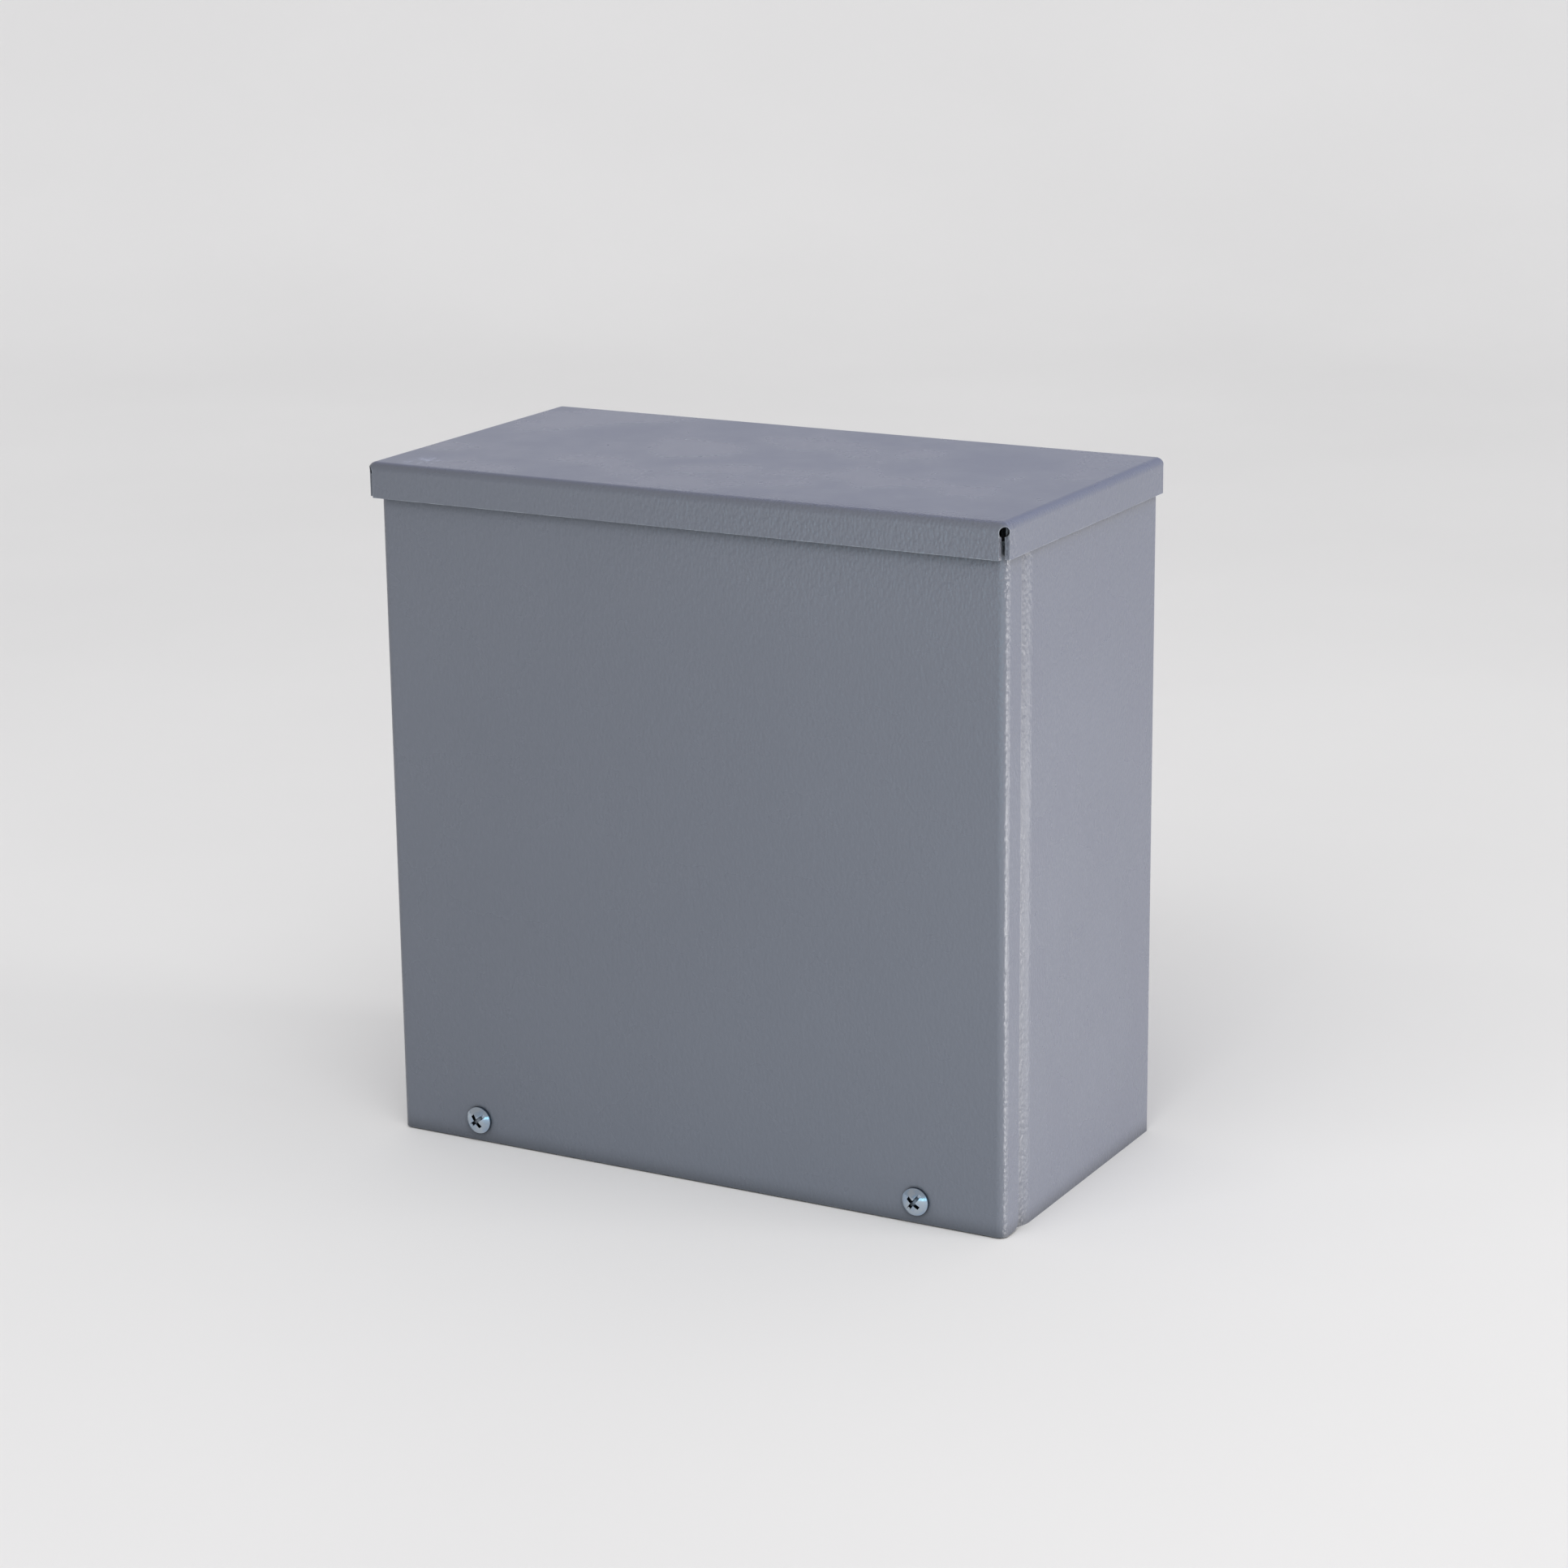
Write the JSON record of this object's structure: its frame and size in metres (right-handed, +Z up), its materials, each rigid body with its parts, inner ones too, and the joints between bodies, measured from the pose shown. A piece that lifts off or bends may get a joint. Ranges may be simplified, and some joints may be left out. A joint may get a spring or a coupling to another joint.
{
  "type": "outdoor pull-out ac disconnect box",
  "caption": "Rainproof wall-mounted sheet-steel disconnect box: drip hood, slip-on cover held by captive screws, pull-out switch, cable lugs and ground bar inside.",
  "frame": {"origin": "centre of the overall footprint at the level of the bottom edges", "axes": "+X to the right seen from the front, +Y back into the wall, +Z up"},
  "size_m": [0.2062, 0.1088, 0.2063],
  "materials": {
    "enclosure_paint": "grey fine-textured powder coat",
    "zinc_screw": "bright zinc plate",
    "spring_steel": "phosphated spring steel",
    "galvanised": "galvanised sheet",
    "base_moulding": "black thermoset moulding",
    "head_moulding": "black moulding with a light sheen",
    "tinned_copper": "tin-plated copper",
    "copper": "bare copper",
    "lug_aluminium": "tin-plated aluminium",
    "lug_screw_steel": "zinc-plated set screw",
    "shield_plastic": "dark grey fibre-filled sheet moulding",
    "ground_aluminium": "extruded aluminium",
    "ground_green": "green-dyed zinc plate"
  },
  "bodies": {
    "enclosure": {"body_wrapper": "enclosure_paint", "bottom_panel": "enclosure_paint", "hood": "enclosure_paint", "mounting_bracket": "galvanised", "pullout_base": "base_moulding", "base_screws": "zinc_screw", "ground_bar": "ground_aluminium", "bar_mount_screws": "zinc_screw", "contact_strap_line_left": "tinned_copper", "spring_jaw_line_left": "tinned_copper", "lug_line_left": "lug_aluminium", "contact_strap_load_left": "tinned_copper", "spring_jaw_load_left": "tinned_copper", "lug_load_left": "lug_aluminium", "contact_strap_line_right": "tinned_copper", "spring_jaw_line_right": "tinned_copper", "lug_line_right": "lug_aluminium", "contact_strap_load_right": "tinned_copper", "spring_jaw_load_right": "tinned_copper", "lug_load_right": "lug_aluminium"},
    "cover": {"front_cover": "enclosure_paint"},
    "cover_screw_left": {"cover_screw_left": "zinc_screw", "screw_retainer_left": "spring_steel"},
    "cover_screw_right": {"cover_screw_right": "zinc_screw", "screw_retainer_right": "spring_steel"},
    "pullout": {"pullout_head": "head_moulding", "blade_left": "copper", "blade_right": "copper", "head_pins": "spring_steel"},
    "shield": {"deadfront_shield": "shield_plastic"},
    "lug_screw_line_left": {"lug_screw_line_left": "lug_screw_steel"},
    "lug_screw_load_left": {"lug_screw_load_left": "lug_screw_steel"},
    "lug_screw_line_right": {"lug_screw_line_right": "lug_screw_steel"},
    "lug_screw_load_right": {"lug_screw_load_right": "lug_screw_steel"},
    "ground_screw_1": {"ground_screw_1": "ground_green"},
    "ground_screw_2": {"ground_screw_2": "ground_green"},
    "ground_screw_3": {"ground_screw_3": "ground_green"},
    "ground_screw_4": {"ground_screw_4": "ground_green"}
  },
  "joints": [
    {"name": "cover_swing", "type": "hinge", "parent": "enclosure", "child": "cover", "pos_m": [0, -0.0562, 0.2004], "axis": [-1, 0, 0], "range_deg": [0, 115]},
    {"name": "cover_screw_left_turn", "type": "hinge", "parent": "cover", "child": "cover_screw_left", "pos_m": [-0.0736, -0.0502, 0.007], "axis": [0, -1, 0], "continuous": true},
    {"name": "cover_screw_right_turn", "type": "hinge", "parent": "cover", "child": "cover_screw_right", "pos_m": [0.0736, -0.0502, 0.007], "axis": [0, -1, 0], "continuous": true},
    {"name": "pullout_slide", "type": "slide", "parent": "enclosure", "child": "pullout", "axis": [0, -1, 0], "range_m": [0, 0.026]},
    {"name": "shield_slide", "type": "slide", "parent": "enclosure", "child": "shield", "axis": [0, -1, 0], "range_m": [0, 0.024]},
    {"name": "lug_screw_line_left_turn", "type": "hinge", "parent": "enclosure", "child": "lug_screw_line_left", "pos_m": [-0.021, 0.0143, 0.15535], "axis": [0, -1, 0], "continuous": true},
    {"name": "lug_screw_load_left_turn", "type": "hinge", "parent": "enclosure", "child": "lug_screw_load_left", "pos_m": [-0.021, 0.0143, 0.06935], "axis": [0, -1, 0], "continuous": true},
    {"name": "lug_screw_line_right_turn", "type": "hinge", "parent": "enclosure", "child": "lug_screw_line_right", "pos_m": [0.021, 0.0143, 0.15535], "axis": [0, -1, 0], "continuous": true},
    {"name": "lug_screw_load_right_turn", "type": "hinge", "parent": "enclosure", "child": "lug_screw_load_right", "pos_m": [0.021, 0.0143, 0.06935], "axis": [0, -1, 0], "continuous": true},
    {"name": "ground_screw_1_turn", "type": "hinge", "parent": "enclosure", "child": "ground_screw_1", "pos_m": [0.0731, 0.0409, 0.0644], "axis": [0, -1, 0], "continuous": true},
    {"name": "ground_screw_2_turn", "type": "hinge", "parent": "enclosure", "child": "ground_screw_2", "pos_m": [0.0731, 0.0409, 0.0764], "axis": [0, -1, 0], "continuous": true},
    {"name": "ground_screw_3_turn", "type": "hinge", "parent": "enclosure", "child": "ground_screw_3", "pos_m": [0.0731, 0.0409, 0.0884], "axis": [0, -1, 0], "continuous": true},
    {"name": "ground_screw_4_turn", "type": "hinge", "parent": "enclosure", "child": "ground_screw_4", "pos_m": [0.0731, 0.0409, 0.1004], "axis": [0, -1, 0], "continuous": true}
  ]
}
